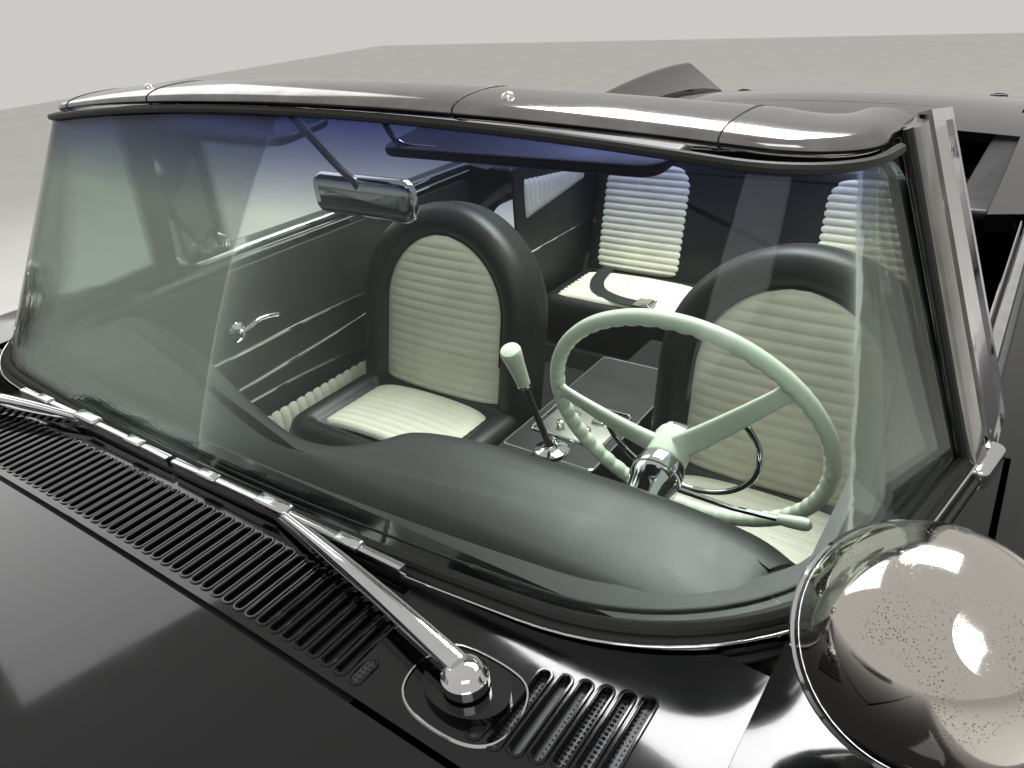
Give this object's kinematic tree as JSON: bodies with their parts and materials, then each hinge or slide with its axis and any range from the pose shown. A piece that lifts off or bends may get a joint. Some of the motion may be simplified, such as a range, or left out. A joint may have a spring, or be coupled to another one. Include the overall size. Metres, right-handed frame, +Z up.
{
  "type": "four-seat convertible car",
  "caption": "Low four-seat convertible of the late fifties with wraparound windshield, bucket seats, console, rear fins, and opening doors, hood and deck lid.",
  "frame": {"origin": "on the ground at the middle of the car's length and width", "axes": "nose towards -Y, the car's left (driver's side) towards +X, +Z up"},
  "size_m": [1.9558, 5.215, 1.3399],
  "materials": {
    "body_paint": "gloss",
    "chrome": "polished",
    "stainless": "satin",
    "glass": "clear",
    "lamp_glass": "clear",
    "red_lens": "clear",
    "black_vinyl": "satin",
    "ivory_vinyl": "satin",
    "ivory_plastic": "gloss",
    "underseal": "matte",
    "cast_metal": "rough",
    "tyre_rubber": "matte",
    "exhaust_steel": "satin"
  },
  "bodies": {
    "root": {"console": "black_vinyl", "cowl": "body_paint", "dashboard": "black_vinyl", "engine": "cast_metal", "exhaust": "exhaust_steel", "fender_left": "body_paint", "fender_right": "body_paint", "front_bumper": "chrome", "front_seat_left": "black_vinyl", "front_seat_right": "black_vinyl", "front_suspension": "cast_metal", "grille": "chrome", "headlamps": "lamp_glass", "mirror_and_visors": "chrome", "nose_panel": "body_paint", "quarter_left": "body_paint", "quarter_right": "body_paint", "rear_axle": "cast_metal", "rear_bumper": "chrome", "rear_deck": "body_paint", "rear_seat": "black_vinyl", "spotlamps": "chrome", "steering_column": "stainless", "tail_lamps": "red_lens", "underbody": "underseal", "windshield_frame": "stainless", "windshield_glass": "glass", "wipers": "stainless"},
    "hood": {"hood": "body_paint"},
    "deck_lid": {"deck_lid": "body_paint"},
    "door_left": {"door_left": "body_paint", "vent_window_left": "chrome"},
    "door_right": {"door_right": "body_paint", "vent_window_right": "chrome"},
    "steering_wheel": {"steering_wheel": "ivory_plastic"},
    "knuckle_left": {"knuckle_left": "cast_metal"},
    "knuckle_right": {"knuckle_right": "cast_metal"},
    "wheel_front_left": {"wheel_front_left": "chrome", "tyre_front_left": "tyre_rubber"},
    "wheel_front_right": {"wheel_front_right": "chrome", "tyre_front_right": "tyre_rubber"},
    "wheel_rear_left": {"wheel_rear_left": "chrome", "tyre_rear_left": "tyre_rubber"},
    "wheel_rear_right": {"wheel_rear_right": "chrome", "tyre_rear_right": "tyre_rubber"}
  },
  "joints": [
    {"name": "hood_hinge", "type": "hinge", "parent": "root", "child": "hood", "pos_m": [0, -2.438, 0.866], "axis": [1, 0, 0], "range_deg": [0, 50]},
    {"name": "deck_lid_hinge", "type": "hinge", "parent": "root", "child": "deck_lid", "pos_m": [0, 2.395, 0.862], "axis": [-1, 0, 0], "range_deg": [0, 60]},
    {"name": "door_left_hinge", "type": "hinge", "parent": "root", "child": "door_left", "pos_m": [0.945, -0.645, 0.575], "axis": [0, 0, -1], "range_deg": [0, 65]},
    {"name": "door_right_hinge", "type": "hinge", "parent": "root", "child": "door_right", "pos_m": [-0.945, -0.645, 0.575], "axis": [0, 0, 1], "range_deg": [0, 65]},
    {"name": "steer_left", "type": "hinge", "parent": "root", "child": "knuckle_left", "pos_m": [0.7, -1.6945, 0.355], "axis": [0, 0, 1], "range_deg": [-30, 30]},
    {"name": "steer_right", "type": "hinge", "parent": "root", "child": "knuckle_right", "pos_m": [-0.7, -1.6945, 0.355], "axis": [0, 0, 1], "range_deg": [-30, 30]},
    {"name": "steering_wheel_turn", "type": "hinge", "parent": "root", "child": "steering_wheel", "pos_m": [0.405, -0.46, 0.846], "axis": [0, 0.9455, 0.3256], "range_deg": [-540, 540]},
    {"name": "wheel_front_left_spin", "type": "hinge", "parent": "knuckle_left", "child": "wheel_front_left", "pos_m": [0.762, -1.6945, 0.355], "axis": [1, 0, 0], "continuous": true},
    {"name": "wheel_rear_left_spin", "type": "hinge", "parent": "root", "child": "wheel_rear_left", "pos_m": [0.724, 1.1755, 0.355], "axis": [1, 0, 0], "continuous": true},
    {"name": "wheel_front_right_spin", "type": "hinge", "parent": "knuckle_right", "child": "wheel_front_right", "pos_m": [-0.762, -1.6945, 0.355], "axis": [1, 0, 0], "continuous": true},
    {"name": "wheel_rear_right_spin", "type": "hinge", "parent": "root", "child": "wheel_rear_right", "pos_m": [-0.724, 1.1755, 0.355], "axis": [1, 0, 0], "continuous": true}
  ],
  "couplings": [
    {"joint": "steer_right", "follows": "steer_left", "ratio": 1},
    {"joint": "steering_wheel_turn", "follows": "steer_left", "ratio": 18}
  ]
}
